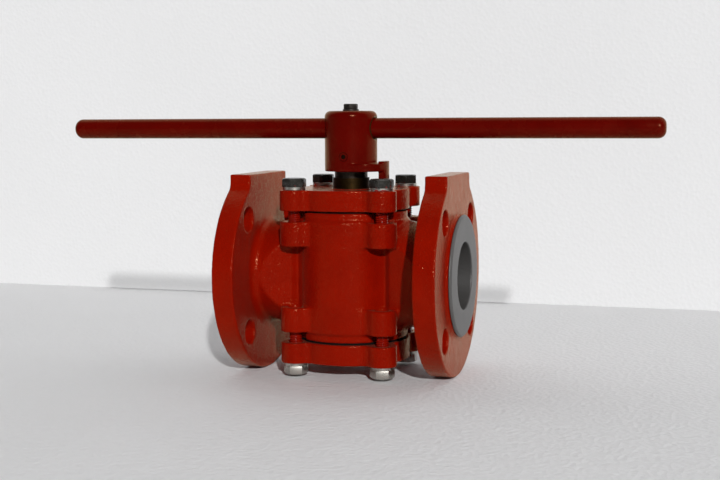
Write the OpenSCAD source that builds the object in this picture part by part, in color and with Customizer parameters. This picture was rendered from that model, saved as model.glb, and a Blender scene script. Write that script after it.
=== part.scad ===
// Lined quarter-turn plug valve with flanged ends and a double-ended bar handle.
// The flow axis is X, the stem axis is Z, and the two cross at the origin. Lengths are in millimetres.

/* [Flanges] */
// Outside diameter of each end flange
flange_d = 152.4; // [146:0.1:165]
// Thickness of each flange
flange_t = 16.5; // [14:0.5:18]
// Distance between the two sealing faces
face_to_face = 178; // [174:1:200]
// Diameter of each flange bolt hole
flange_hole_d = 19.05; // [16:0.05:20]
// Metal between each bolt hole and the flange's rim
rim_land = 6.35; // [4:0.05:9]
// Number of bolt holes in each flange
flange_hole_count = 4; // [4:4:8]
// Width of the flat pad on top of each flange
pad_w = 76.5; // [60:0.5:90]
// Radius of the hollow blend between pad and rim
pad_blend_r = 12; // [6:1:16]
// Flat between the raised sealing face and each bolt hole
face_land = 4.75; // [3:0.05:8]
// Height of the metal step under the sealing face
raised_face_h = 2.5; // [1.5:0.1:3]
// Thickness of the lining over the sealing face
face_lining_t = 2.5; // [2:0.1:3.5]

/* [Body] */
// Outside radius of the chamber between the lugs, and of the covers
chamber_r = 44.5; // [43:0.5:46]
// Outside radius of the chamber's two rims, beyond the lugs
rim_r = 43; // [42:0.5:44]
// Outside radius of the chamber's waist, between upper and lower lugs
waist_r = 41.5; // [40.5:0.5:43]
// Radius of the upright swell on each of the chamber's four sides
swell_r = 37; // [32:0.5:40]
// Distance from the stem axis to the face of each swell
swell_reach = 45; // [44.5:0.5:48]
// Height from the flow axis to each end face of the chamber
chamber_half_h = 48.2; // [46:0.1:50]
// Spacing of the four cover bolts along X and along Y
bolt_pitch = 68; // [67:0.5:74]
// Radius of each bolt lug, on the body and on the covers
lug_r = 11; // [10:0.5:14]
// Radius of the hollow blend between a lug and the chamber
lug_blend_r = 8; // [3:0.5:9]
// Height from the flow axis to the outer face of the body lugs
lug_outer_h = 41.5; // [39:0.1:43]
// Thickness of the body lugs
lug_t = 18.6; // [14:0.1:22]
// Radius of the clearance cut beside each bolt
scallop_r = 8; // [7:0.25:8.5]
// Half width, across the flow, of the flat shoulders on both sides of the chamber
shoulder_y = 26.5; // [26:0.5:29]
// Distance from the stem axis to the foot of the ramp between shoulder and neck
ramp_x = 34.5; // [33.5:0.5:36.5]
// Half width of each port neck at the head of the ramp
neck_half_w = 30.5; // [29.5:0.5:33]
// Half height of each port neck at the chamber
neck_half_h = 41; // [38:0.5:41]
// Outside diameter of each port neck at its flange
neck_foot_d = 76; // [70:0.5:78]
// Radius of the blend from a neck into its flange
neck_blend_r = 6; // [3:0.5:9]

/* [Lining and plug] */
// Diameter of the bore at the sealing faces
bore_d = 50.8; // [44:0.1:52]
// Length of straight bore behind each sealing face
bore_straight = 27; // [15:1:36]
// Diameter of the port through the plug
port_d = 38; // [30:0.5:40]
// Thickness of the body lining
lining_t = 3; // [2:0.1:3.5]
// Radius of the plug at the flow axis
plug_mid_r = 32; // [30:0.1:32.5]
// Half angle of the plug's taper, in degrees
plug_taper = 3; // [2:0.1:3.5]
// Half of the plug's height
plug_half_h = 39.8; // [37:0.1:41]
// Thickness of the plug's lining
plug_lining_t = 2.5; // [1.5:0.1:3]

/* [Covers and seals] */
// Thickness of both covers
cover_t = 15.4; // [13:0.1:20]
// Thickness of both cover gaskets
gasket_t = 1.4; // [0.8:0.1:2.5]
// Thickness of the lip seals at both ends of the plug
seal_t = 2.5; // [1.5:0.1:3]
// Thickness of the metal plate on the upper lip seal
plate_t = 0.8; // [0.5:0.1:1.2]
// Radius of the stuffing box around the stem
box_r = 18; // [16.5:0.1:19]
// Number of rings in the stem packing
packing_count = 3; // [2:1:4]
// Outside radius of the gland bush where it shows
gland_r = 14; // [13.8:0.1:15]
// Height of the gland bush above the top cover
gland_rise = 8; // [4:0.5:10]

/* [Cover bolts] */
// Thread diameter of the cover bolts
bolt_d = 10; // [8:0.5:10]
// Width across the flats of the cover bolt heads
bolt_af = 16; // [14:0.5:17]
// Height of the cover bolt heads
bolt_head_h = 6.4; // [5:0.1:7]
// Thickness of the spring washers
washer_t = 2.4; // [1.5:0.1:3]
// Outside diameter of the spring washers
washer_d = 17; // [15:0.5:18]

/* [Handle] */
// Diameter of the stem
stem_d = 25.2; // [22:0.1:25.5]
// Width across the flats of the stem's square
square_w = 18; // [15:0.1:18.5]
// Diameter of the handle hub
hub_d = 40; // [36:0.5:44]
// Height of the handle hub
hub_h = 45.6; // [42:0.1:52]
// Height of the hub's lower face above the top cover
hub_clear = 13; // [10:0.5:16]
// Radius of the round on the hub's top edge
hub_round = 4.5; // [1:0.5:6]
// Diameter of the handle bar
bar_d = 15.5; // [12:0.1:16]
// Length of the handle bar
bar_l = 468; // [380:1:520]
// Radius of the round on the bar's ends
bar_round = 5.6; // [1:0.2:5.8]
// Depth of the bar's axis below the hub's top
bar_drop = 13.2; // [12:0.1:14]
// Reach of the stop tongue from the stem axis
tongue_reach = 29.5; // [27:0.5:31]
// Thickness of the stop tongue
tongue_t = 5.8; // [4:0.1:8]
// Width of the stop leg under the tongue
stop_w = 16; // [10:0.5:18]
// Thickness of the stop leg, along its radius
stop_t = 5.5; // [4:0.1:7]
// Depth of the stop groove in the top cover
groove_depth = 3; // [2:0.1:4]
// Turn of the handle from open to shut, in degrees
quarter_turn = 90; // [60:5:90]
// Thread diameter of the bolt on top of the hub
bar_bolt_d = 6; // [5:0.5:6]
// Width across the flats of that bolt's head
bar_bolt_af = 10; // [8:0.5:11]
// Thread diameter of the hub's set screw
set_screw_d = 6; // [5:0.5:8]
// Height of the set screw above the hub's lower face
set_screw_h = 11.2; // [10:0.1:13]

/* [Hidden] */
$fn = 96;

// Clearances
running_gap = 0.1;
shaft_gap = 0.06;
bond_gap = 0.05;
thread_gap = 0.05;
slip_gap = 0.1;
seal_gap = 0.2;
stop_gap = 0.3;
bolt_hole_gap = 0.5;
cut_through = 1;
// How far a blend is set into the round face that it runs out on
blend_sink = 0.5;

// Colours
orange_paint = [0.72, 0.20, 0.03];
red_paint = [0.45, 0.03, 0.02];
grey_lining = [0.52, 0.53, 0.54];
white_seal = [0.90, 0.90, 0.87];
black_rubber = [0.05, 0.05, 0.05];
zinc_steel = [0.62, 0.62, 0.60];
stem_steel = [0.30, 0.29, 0.27];
bronze = [0.45, 0.33, 0.16];

// Flange and port places along X
flange_r = flange_d / 2;
flange_hole_r = flange_hole_d / 2;
hole_circle_r = flange_r - rim_land - flange_hole_r;
raised_face_r = hole_circle_r - flange_hole_r - face_land;
face_x = face_to_face / 2;
lining_back_x = face_x - face_lining_t;
flange_x = lining_back_x - raised_face_h;
flange_back_x = flange_x - flange_t;
straight_x = face_x - bore_straight;
bore_r = bore_d / 2;
port_r = port_d / 2;

// Plug and seat
seat_half_h = plug_half_h + seal_gap;
pocket_r = taper_r(seat_half_h) + running_gap + lining_t + bond_gap;

// Heights along the stem, from the flow axis
cover_in = chamber_half_h + gasket_t;
cover_out = cover_in + cover_t;
washer_out = cover_out + washer_t;
plate_z = seat_half_h + seal_t;
thrust_z = plate_z + plate_t;
gland_flange_t = 2;
gland_shoulder = cover_in + cover_t / 2;
packing_top = gland_shoulder - gland_flange_t;
gland_top = cover_out + gland_rise;
hub_z = cover_out + hub_clear;
hub_top = hub_z + hub_h;
bar_z = hub_top - bar_drop;
hub_web = 2.4;
socket_top = bar_z - bar_d / 2 - hub_web;
stem_top = socket_top - stop_gap;

// Lower trunnion of the plug
trunnion_r = 11;
trunnion_bush_t = 3;
trunnion_bush_l = 10;
trunnion_pad_t = 2;
trunnion_bush_z = cover_in + trunnion_bush_l;
trunnion_pad_z = trunnion_bush_z + trunnion_pad_t;
trunnion_end = trunnion_bush_z - slip_gap;
trunnion_bush_r = trunnion_r + shaft_gap + trunnion_bush_t;

// Bolts and their places
bolt_at = bolt_pitch / 2;
bolt_r = bolt_d / 2;
lug_inner_h = lug_outer_h - lug_t;
tip_sink = 3;
bolt_tip = lug_inner_h + tip_sink;
head_turns = [14, 41, 3, 27];
// Share of a head's width that is left flat on top
hex_crown = 0.95;
washer_turns = [20, 110, 250, 300];
washer_split = 1.4;
washer_play = 0.2;
tip_room = 1.5;
waist_end = lug_outer_h - lug_t / 2;
ramp_end_x = ramp_x + neck_half_w - shoulder_y;
neck_root_x = max(bolt_at + lug_r, swell_reach);
neck_blend_x = flange_back_x - neck_blend_r;
neck_foot_r = neck_foot_d / 2;
gasket_inset = 1.5;
spot_face = 0.5;

// Handle
stem_r = stem_d / 2;
hub_r = hub_d / 2;
square_corner = 2.88;
square_corner_r = square_w / 2 + square_corner;
bar_r = bar_d / 2;
tongue_step = 0.5;
leg_rise = 1.8;
tongue_r = hub_r - tongue_step;
tongue_at = tongue_reach - tongue_r;
stop_in = tongue_reach - stop_t;
leg_bottom = cover_out - groove_depth + stop_gap;
bar_bolt_r = bar_bolt_d / 2;
bar_bolt_head_h = 4;
bar_bolt_engage = 12;
bar_bolt_tip = stem_top - bar_bolt_engage;
bar_bolt_turn = 8;
set_screw_z = hub_z + set_screw_h;
bar_washer_t = 1.3;
bar_washer_r = 6.2;
set_screw_r = set_screw_d / 2;
set_screw_sink = 0.4;
hex_key_w = set_screw_r;
hex_key_depth = 3;
bar_mouth = 1.5;
face_edge = 1.5;

function taper_r(z) = plug_mid_r + z * tan(plug_taper);

function arc_points(centre, r, from, to, steps) =
    [for (i = [0:steps])
        let (turn = from + (to - from) * i / steps) centre + r * [cos(turn), sin(turn)]];

// Outline of a lug that stands out of a round of radius round_r, along +X, with a hollow blend on each side
function lug_outline(round_r, at, r, blend) =
    let (
        inner = round_r - blend_sink,
        turn = acos((pow(inner + blend, 2) + at * at - pow(r + blend, 2)) / (2 * (inner + blend) * at)),
        middle = (inner + blend) * [cos(turn), sin(turn)],
        lean = atan2(middle.y, middle.x - at)
    )
    concat(
        arc_points([middle.x, -middle.y], blend, 180 - turn, 180 - lean, 8),
        arc_points([at, 0], r, -lean, lean, 32),
        arc_points(middle, blend, lean - 180, turn - 180, 8)
    );

// Plan of one neck, from the stem axis to its flange: flat shoulders, a ramp, and sides that spread
function neck_plan(side) =
    let (edge = [
        [0, shoulder_y],
        [ramp_x, shoulder_y],
        [ramp_end_x, neck_half_w],
        [neck_blend_x, neck_foot_r],
        [neck_blend_x, flange_r],
        [flange_back_x, flange_r]
    ])
    concat(
        [for (point = edge) [side * point.x, point.y]],
        [for (i = [len(edge) - 1:-1:0]) [side * edge[i].x, -edge[i].y]]
    );

// Outline of a flange's flat pad, on +Y of a round of radius round_r, with hollow blends on both sides.
function pad_outline(round_r, half_w, blend) =
    let (
        inner = round_r - blend_sink,
        middle = [half_w + blend, sqrt(pow(inner + blend, 2) - pow(half_w + blend, 2))],
        lean = atan2(middle.y, middle.x)
    )
    concat(
        [[half_w, round_r]],
        arc_points(middle, blend, 180, 180 + lean, 10),
        arc_points([-middle.x, middle.y], blend, -lean, 0, 10),
        [[-half_w, round_r]]
    );

// Shared shapes

module along_x(side) {
    rotate([0, side * 90, 0]) children();
}

module upside_down() {
    rotate([180, 0, 0]) children();
}

module both_ends() {
    children();
    upside_down() children();
}

module at_corners(at) {
    for (x = [-1, 1], y = [-1, 1])
        translate([x * at, y * at, 0]) children();
}

// A round from one height to another
module round_between(r, from, to) {
    translate([0, 0, from]) cylinder(r = r, h = to - from);
}

// A ring from one height to another
module ring_between(r_out, r_in, from, to) {
    difference() {
        round_between(r_out, from, to);
        round_between(r_in, from - cut_through, to + cut_through);
    }
}

// A tapered round about Z that follows the plug's surface at a set distance outside it
module tapered(half_h, outside) {
    translate([0, 0, -half_h])
        cylinder(h = 2 * half_h, r1 = taper_r(-half_h) + outside, r2 = taper_r(half_h) + outside);
}

// The waterway about X, at a set distance outside its surface: straight behind each face, then narrowing
// to the plug's port
module waterway(outside, end_x) {
    for (side = [-1, 1]) along_x(side) {
        round_between(bore_r + outside, straight_x, end_x);
        translate([0, 0, plug_mid_r])
            cylinder(h = straight_x - plug_mid_r, r1 = port_r + outside, r2 = bore_r + outside);
    }
    along_x(1) round_between(port_r + outside, -plug_mid_r, plug_mid_r);
}

// Four bolt lugs that stand out of the chamber's round
module lugs(from, to) {
    for (quarter = [45:90:315])
        translate([0, 0, from]) rotate(quarter) linear_extrude(to - from)
            polygon(lug_outline(chamber_r, bolt_at * sqrt(2), lug_r, lug_blend_r));
}

// A cover before it is bored: a round plate with four bolt lugs and their holes
module cover_blank() {
    difference() {
        union() {
            round_between(chamber_r, cover_in, cover_out);
            lugs(cover_in, cover_out);
        }
        at_corners(bolt_at)
            round_between(bolt_r + bolt_hole_gap, cover_in - cut_through, cover_out + cut_through);
    }
}

// A hexagon head with its upper corners turned off at 30 degrees
module hex_head(af, h) {
    top_r = af / 2 * hex_crown;
    intersection() {
        cylinder(r = af / sqrt(3), h = h, $fn = 6);
        cylinder(r1 = top_r + h * sqrt(3), r2 = top_r, h = h);
    }
}

// The stem's square with its corners turned off, at a set distance outside its surface
module stem_square(outside, from, to) {
    side = square_w + 2 * outside;
    intersection() {
        translate([-side / 2, -side / 2, from]) cube([side, side, to - from]);
        round_between(square_corner_r + outside, from - cut_through, to + cut_through);
    }
}

// Four cover bolts, each head turned by its own angle
module cover_bolts() {
    for (i = [0:3])
        rotate(90 * i) translate([bolt_at, bolt_at, 0]) {
            translate([0, 0, washer_out]) rotate(head_turns[i]) hex_head(bolt_af, bolt_head_h);
            round_between(bolt_r, bolt_tip, washer_out);
        }
}

// Four split washers under the bolt heads
module spring_washers() {
    for (i = [0:3])
        rotate(90 * i) translate([bolt_at, bolt_at, 0]) difference() {
            ring_between(washer_d / 2, bolt_r + washer_play, cover_out, washer_out);
            rotate(washer_turns[i]) translate([0, -washer_split / 2, cover_out - cut_through])
                cube([washer_d, washer_split, washer_t + 2 * cut_through]);
        }
}

// A cover gasket with the same clearance cuts as the chamber's end
module gasket() {
    difference() {
        ring_between(rim_r - gasket_inset, pocket_r, chamber_half_h, cover_in);
        at_corners(bolt_at) round_between(scallop_r, chamber_half_h - cut_through, cover_in + cut_through);
    }
}

// Casting and lining: chamber, and the two necks and flanges cast on to it

// The waterway that the lining fills, cut through the casting
module lined_hollow() {
    waterway(lining_t + bond_gap, lining_back_x + cut_through);
}

module flange(side) difference() {
    along_x(side) {
        round_between(flange_r, flange_back_x, flange_x);
        translate([0, 0, flange_back_x]) rotate(side * 90) linear_extrude(flange_t)
            polygon(pad_outline(flange_r, pad_w / 2, pad_blend_r));
        round_between(raised_face_r, flange_back_x, lining_back_x);
    }
    lined_hollow();
    for (i = [0:flange_hole_count - 1])
        along_x(side) rotate((i + 0.5) * 360 / flange_hole_count) translate([hole_circle_r, 0, 0])
            round_between(flange_hole_r, flange_back_x - cut_through, flange_x + cut_through);
}

// The upright sides of a neck
module neck_sides(side) {
    translate([0, 0, -flange_r]) linear_extrude(2 * flange_r) polygon(neck_plan(side));
}

// The part of a neck that lies within the reach of the lugs
module neck_root(side) intersection() {
    along_x(side) round_between(neck_half_h, waist_r / 2, neck_root_x);
    neck_sides(side);
}

module neck(side) difference() {
    intersection() {
        along_x(side) rotate_extrude() polygon(concat(
            [[0, neck_root_x], [neck_half_h, neck_root_x]],
            arc_points([neck_foot_r + neck_blend_r, neck_blend_x], neck_blend_r, 180, 90, 8),
            [[0, flange_back_x]]
        ));
        neck_sides(side);
    }
    lined_hollow();
}

module left_neck() color(orange_paint) neck(-1);

module right_neck() color(orange_paint) neck(1);

module left_flange() color(orange_paint) flange(-1);

module right_flange() color(orange_paint) flange(1);

module body() color(orange_paint) difference() {
    union() {
        for (side = [-1, 1]) neck_root(side);
        round_between(waist_r, -waist_end, waist_end);
        both_ends() round_between(chamber_r, lug_inner_h, chamber_half_h);
        for (quarter = [0:90:270]) rotate(quarter)
            translate([swell_reach - swell_r, 0, 0]) round_between(swell_r, -lug_outer_h, lug_outer_h);
        both_ends() lugs(lug_inner_h, lug_outer_h);
    }
    tapered(seat_half_h, running_gap + lining_t + bond_gap);
    lined_hollow();
    both_ends() {
        round_between(pocket_r, seat_half_h, chamber_half_h + cut_through);
        ring_between(chamber_r + cut_through, rim_r, lug_outer_h + spot_face, chamber_half_h + cut_through);
        at_corners(bolt_at) {
            round_between(scallop_r, lug_outer_h - spot_face, chamber_half_h + cut_through);
            round_between(bolt_r + thread_gap, lug_inner_h - cut_through, lug_outer_h + cut_through);
        }
    }
}

module body_lining() color(grey_lining) difference() {
    union() {
        tapered(seat_half_h, running_gap + lining_t);
        waterway(lining_t, lining_back_x);
        for (side = [-1, 1]) along_x(side) {
            round_between(raised_face_r, lining_back_x, face_x - face_edge);
            translate([0, 0, face_x - face_edge])
                cylinder(h = face_edge, r1 = raised_face_r, r2 = raised_face_r - face_edge);
        }
    }
    tapered(seat_half_h + cut_through, running_gap);
    waterway(0, face_x + cut_through);
}

// Plug, with its stem above and its trunnion below

module plug_core() color(stem_steel) difference() {
    union() {
        tapered(plug_half_h - plug_lining_t, -plug_lining_t - bond_gap);
        round_between(stem_r, 0, hub_z);
        stem_square(0, hub_z, stem_top);
        round_between(trunnion_r, -trunnion_end, 0);
    }
    along_x(1) round_between(port_r + plug_lining_t + bond_gap, -2 * plug_mid_r, 2 * plug_mid_r);
    round_between(bar_bolt_r + thread_gap, bar_bolt_tip - tip_room, stem_top + cut_through);
}

module plug_lining() color(grey_lining) difference() {
    tapered(plug_half_h, 0);
    difference() {
        tapered(plug_half_h - plug_lining_t + bond_gap, -plug_lining_t);
        along_x(1) round_between(port_r + plug_lining_t, -2 * plug_mid_r, 2 * plug_mid_r);
    }
    along_x(1) round_between(port_r, -2 * plug_mid_r, 2 * plug_mid_r);
    round_between(stem_r + bond_gap, port_r + plug_lining_t, chamber_half_h);
    round_between(trunnion_r + bond_gap, -chamber_half_h, -port_r - plug_lining_t);
}

// Seals and bearing pieces above the plug

module lip_seal() color(white_seal)
    ring_between(pocket_r - slip_gap, stem_r + shaft_gap, seat_half_h, plate_z);

module seal_plate() color(zinc_steel)
    ring_between(pocket_r - slip_gap, stem_r + stop_gap, plate_z, thrust_z);

module thrust_ring() color(zinc_steel)
    ring_between(pocket_r - stop_gap, box_r + slip_gap, thrust_z, cover_in);

module stem_packing() color(white_seal) {
    ring_h = (packing_top - thrust_z) / packing_count;
    for (i = [0:packing_count - 1])
        translate([0, 0, thrust_z + i * ring_h])
            ring_between(box_r - bond_gap, stem_r + shaft_gap, 0, ring_h);
}

module gland_bush() color(bronze) difference() {
    union() {
        round_between(box_r - slip_gap, packing_top, gland_shoulder);
        round_between(gland_r, packing_top, gland_top);
    }
    round_between(stem_r + shaft_gap, packing_top - cut_through, gland_top + cut_through);
}

// Top cover and its fastening

module top_gasket() color(black_rubber) gasket();

// The quarter-circle groove that the stop leg runs in
module stop_groove() {
    from_r = stop_in - stop_gap;
    room = stop_t + 2 * stop_gap;
    wide = stop_w + 2 * stop_gap;
    translate([0, 0, cover_out - groove_depth]) {
        rotate(-quarter_turn) rotate_extrude(angle = quarter_turn)
            translate([from_r, 0]) square([room, groove_depth + cut_through]);
        for (turn = [-quarter_turn, 0]) rotate(turn) translate([from_r, -wide / 2, 0])
            cube([room, wide, groove_depth + cut_through]);
    }
}

module top_cover() color(orange_paint) difference() {
    cover_blank();
    round_between(box_r, cover_in - cut_through, gland_shoulder);
    round_between(gland_r + thread_gap, cover_in, cover_out + cut_through);
    stop_groove();
}

module top_cover_bolts() color(zinc_steel) cover_bolts();

module top_spring_washers() color(zinc_steel) spring_washers();

// Seal, bearing pieces and cover below the plug

module lower_lip_seal() color(white_seal) upside_down()
    ring_between(pocket_r - slip_gap, trunnion_r + shaft_gap, seat_half_h, plate_z);

module lower_thrust_ring() color(zinc_steel) upside_down()
    ring_between(pocket_r - stop_gap, trunnion_bush_r, plate_z, cover_in);

module trunnion_bush() color(bronze) upside_down()
    ring_between(trunnion_bush_r, trunnion_r + shaft_gap, cover_in, trunnion_bush_z);

module trunnion_pad() color(white_seal) upside_down()
    round_between(trunnion_bush_r, trunnion_bush_z, trunnion_pad_z);

module bottom_gasket() color(black_rubber) upside_down() gasket();

module bottom_cover() color(orange_paint) upside_down() difference() {
    cover_blank();
    round_between(trunnion_bush_r + bond_gap, cover_in - cut_through, trunnion_pad_z);
}

module bottom_cover_bolts() color(zinc_steel) upside_down() cover_bolts();

module bottom_spring_washers() color(zinc_steel) upside_down() spring_washers();

// Handle

module hub_blank() {
    rotate_extrude() polygon(concat(
        [[0, hub_z], [hub_r, hub_z]],
        arc_points([hub_r - hub_round, hub_top - hub_round], hub_round, 0, 90, 8),
        [[0, hub_top]]
    ));
    translate([0, 0, hub_z]) linear_extrude(tongue_t) {
        translate([tongue_at, 0]) circle(tongue_r);
        translate([0, -tongue_r]) square([tongue_at, 2 * tongue_r]);
    }
    intersection() {
        translate([tongue_at, 0, 0]) round_between(tongue_r, leg_bottom, hub_z + tongue_t + leg_rise);
        translate([stop_in, -stop_w / 2, 0]) cube([2 * stop_t, stop_w, hub_top]);
    }
}

module handle_hub() color(red_paint) difference() {
    hub_blank();
    stem_square(slip_gap, hub_z - cut_through, socket_top);
    round_between(bar_bolt_r + slip_gap, socket_top - cut_through, hub_top + cut_through);
    translate([0, 0, bar_z]) for (side = [-1, 1]) along_x(side) {
        round_between(bar_r + slip_gap, 0, hub_r + cut_through);
        translate([0, 0, hub_r - bar_mouth])
            cylinder(h = bar_mouth, r1 = bar_r + slip_gap, r2 = bar_r + slip_gap + bar_mouth);
    }
    translate([0, 0, set_screw_z]) rotate([90, 0, 0])
        round_between(set_screw_r + thread_gap, 0, hub_r + cut_through);
}

module handle_bar() color(red_paint) difference() {
    translate([0, 0, bar_z]) along_x(1) rotate_extrude() polygon(concat(
        [[0, -bar_l / 2]],
        arc_points([bar_r - bar_round, -bar_l / 2 + bar_round], bar_round, -90, 0, 8),
        arc_points([bar_r - bar_round, bar_l / 2 - bar_round], bar_round, 0, 90, 8),
        [[0, bar_l / 2]]
    ));
    round_between(bar_bolt_r + slip_gap, bar_z - bar_d, bar_z + bar_d);
}

module bar_bolt() color(stem_steel) {
    translate([0, 0, hub_top + bar_washer_t]) rotate(bar_bolt_turn) hex_head(bar_bolt_af, bar_bolt_head_h);
    round_between(bar_bolt_r, bar_bolt_tip, hub_top + bar_washer_t);
}

module bar_bolt_washer() color(stem_steel)
    ring_between(bar_washer_r, bar_bolt_r + washer_play, hub_top, hub_top + bar_washer_t);

module hub_set_screw() color(stem_steel) translate([0, 0, set_screw_z]) rotate([90, 0, 0]) difference() {
    round_between(set_screw_r, square_w / 2, hub_r - set_screw_sink);
    translate([0, 0, hub_r - set_screw_sink - hex_key_depth])
        cylinder(r = hex_key_w / sqrt(3), h = hex_key_depth + cut_through, $fn = 6);
}

body();
left_neck();
right_neck();
left_flange();
right_flange();
body_lining();
plug_core();
plug_lining();
lip_seal();
seal_plate();
thrust_ring();
stem_packing();
gland_bush();
top_gasket();
top_cover();
top_cover_bolts();
top_spring_washers();
lower_lip_seal();
lower_thrust_ring();
trunnion_bush();
trunnion_pad();
bottom_gasket();
bottom_cover();
bottom_cover_bolts();
bottom_spring_washers();
handle_hub();
handle_bar();
bar_bolt();
bar_bolt_washer();
hub_set_screw();
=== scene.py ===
import functools
import math

import bpy
from mathutils import Matrix, Vector


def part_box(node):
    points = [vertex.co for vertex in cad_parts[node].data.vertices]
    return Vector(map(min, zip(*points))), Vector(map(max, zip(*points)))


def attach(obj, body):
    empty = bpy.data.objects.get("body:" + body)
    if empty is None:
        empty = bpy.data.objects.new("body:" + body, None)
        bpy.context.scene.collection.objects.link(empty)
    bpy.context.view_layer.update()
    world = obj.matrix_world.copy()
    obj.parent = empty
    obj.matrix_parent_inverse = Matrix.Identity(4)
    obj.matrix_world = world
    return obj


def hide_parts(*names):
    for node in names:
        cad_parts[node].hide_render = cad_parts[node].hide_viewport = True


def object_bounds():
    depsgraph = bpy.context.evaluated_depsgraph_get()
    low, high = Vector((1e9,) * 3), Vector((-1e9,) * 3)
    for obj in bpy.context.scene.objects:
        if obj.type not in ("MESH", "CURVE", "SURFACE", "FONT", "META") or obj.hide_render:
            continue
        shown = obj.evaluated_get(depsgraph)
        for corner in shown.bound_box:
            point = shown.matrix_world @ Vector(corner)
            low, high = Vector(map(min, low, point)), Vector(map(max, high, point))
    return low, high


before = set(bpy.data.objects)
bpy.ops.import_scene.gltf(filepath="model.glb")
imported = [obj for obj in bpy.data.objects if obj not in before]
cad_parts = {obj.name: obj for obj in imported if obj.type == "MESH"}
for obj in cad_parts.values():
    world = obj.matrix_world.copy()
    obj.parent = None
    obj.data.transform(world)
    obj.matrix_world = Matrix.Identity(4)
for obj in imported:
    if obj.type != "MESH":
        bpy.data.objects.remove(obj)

bl_info = {
    "name": "Lined plug valve",
    "version": (1, 0, 0),
    "blender": (4, 5, 0),
    "location": "View3D > Sidebar > Plug valve",
    "description": "Dresses the solids of a flanged plug valve as painted castings, bolts and a bar handle",
    "category": "Object",
}

CAD_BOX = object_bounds()
MM = 0.001

FIXED = "valve_body"
MOVING = "plug_and_handle"

# The body casting is one piece of iron that the solids show in parts
CASTING_NODES = [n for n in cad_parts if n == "body" or n.endswith(("_neck", "_flange"))]

# How meshes are made: points this near are one point, and remeshed pieces keep no more triangles
MERGE_DISTANCE = 0.002 * MM
CASTING_TRIANGLES = 190000
PIECE_TRIANGLES = 90000
SKIN_WAVES = 9 * MM

# Edges sharper than this, in degrees, stay sharp in the shading
CAST_ANGLE = 60
TURNED_ANGLE = 35
HEXAGON_ANGLE = 30

# Cover bolts, M10, on the corners of a square. The head lies on a collar, and the thread shows between
# cover and chamber. The turns in degrees are those of the four heads and of the four washers' splits.
BOLT_CORNER = 34 * MM
BOLT_RADIUS = 5 * MM
BOLT_COLLAR = ((7.4 * MM, 0), (7.6 * MM, 0.5 * MM), (7.0 * MM, 0.8 * MM))
BOLT_THREAD = (40 * MM, 51 * MM)
BOLT_TURNS = (14, 41, 3, 27)
SPRING_RADII = (5.2 * MM, 8.5 * MM)
SPRING_TURNS = (20, 110, 250, 300)
SPLIT_WIDTH = 1.4 * MM
SPLIT_SLANT = 25

# A shank reaches this far into its head, and a washer's edges are broken by this much
HEAD_OVERLAP = 0.2 * MM
WASHER_EDGE = 0.25 * MM

# Bar bolt, M6, and the way for it through the bar
SMALL_BOLT_ACROSS = 10 * MM
SMALL_BOLT_RADIUS = 3 * MM
SMALL_BOLT_PITCH = 1.0 * MM
SMALL_BOLT_THREAD = (1.5 * MM, 9 * MM)
SMALL_BOLT_TURN = 8
SMALL_WASHER_RADII = (3.2 * MM, 6.2 * MM)
BOLT_WAY_RADIUS = 3.1 * MM
BOLT_WAY_HALF = 20 * MM
BAR_RINGS = 12

# Grain of the finishes, in waves or cells per metre
GLOSS_PATCHES = 75.0
CAST_LUMPS = 150.0
NIB_CELLS = 420.0
SCRATCHES = 700.0
BOARD_CLOUDS = 3.0
BOARD_BEADS = 260.0

# Heights of fine relief, and widths over which the edge of overspray or of painted shade fades
FINE_RELIEF = 0.02 * MM
GASKET_RELIEF = 0.08 * MM
BEAD_RELIEF = 0.9 * MM
OVERSPRAY_EDGE = 0.4 * MM
SHADE_EDGE = 0.3 * MM

# Painted shade in the handle's holes, each a colour, 0 along X or 1 along Y, height of the axis, radius:
# the mouth and bore of the bar hole, the hole round the set screw and the set screw's socket
BAR_HEIGHT = 0.1104
SCREW_HEIGHT = 0.0892
BAR_HOLE = ((0.022, 0.014, 0.004), 0.0, BAR_HEIGHT, 0.0097)
SCREW_HOLE = ((0.012, 0.002, 0.001), 1.0, SCREW_HEIGHT, 0.0036)
SCREW_SOCKET = ((0.006, 0.004, 0.003), 1.0, SCREW_HEIGHT, 0.0019)
# The lining is darker within this radius of the flow axis, as painted shade inside the bore
BORE_RADIUS = 0.0258

# The enamel's clear top: its thin film takes gloss away where the light comes straight on
CLEAR_TOP = {
    "Specular_Tint": (1.0, 0.74, 0.5, 1.0),
    "Thin_Film_Thickness": 88.0,
    "Thin_Film_IOR": 1.33,
}

# The stage. The camera, with angles in degrees, was solved from the photograph.
BOARD_SIZE = 9
FLOOR_GLOW = 0.0
WALL_GLOW = 0.55
SUN_PLACE = (0.8, -1.6, 0.9)
SUN_WAY = (-0.395, 0.830, -0.393)
CAMERA_PLACE = (0.28704, -0.91055, 0.11871)
CAMERA_ANGLES = (-17.109, 5.615, -0.3)
SENSOR_WIDTH = 36
NEAREST_SEEN = 0.01


# Selecting and finishing


def clear_selection():
    """Leave edit mode and deselect everything."""
    if bpy.context.object and bpy.context.object.mode != "OBJECT":
        bpy.ops.object.mode_set(mode="OBJECT")
    bpy.ops.object.select_all(action="DESELECT")


def pick(*pieces):
    """Select these pieces only, the first one active."""
    clear_selection()
    for piece in pieces:
        piece.select_set(True)
    bpy.context.view_layer.objects.active = pieces[0]


def name_piece(piece, name):
    """Name a piece and its mesh."""
    piece.name = name
    piece.data.name = name
    return piece


def place(piece, location=(0, 0, 0), rotation=(0, 0, 0)):
    """Move and turn a piece, and put its place into its mesh."""
    pick(piece)
    piece.location = location
    piece.rotation_euler = rotation
    bpy.ops.object.transform_apply(location=True, rotation=True, scale=True)
    return piece


def remove(piece):
    """Delete a piece that has served."""
    pick(piece)
    bpy.ops.object.delete()


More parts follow.
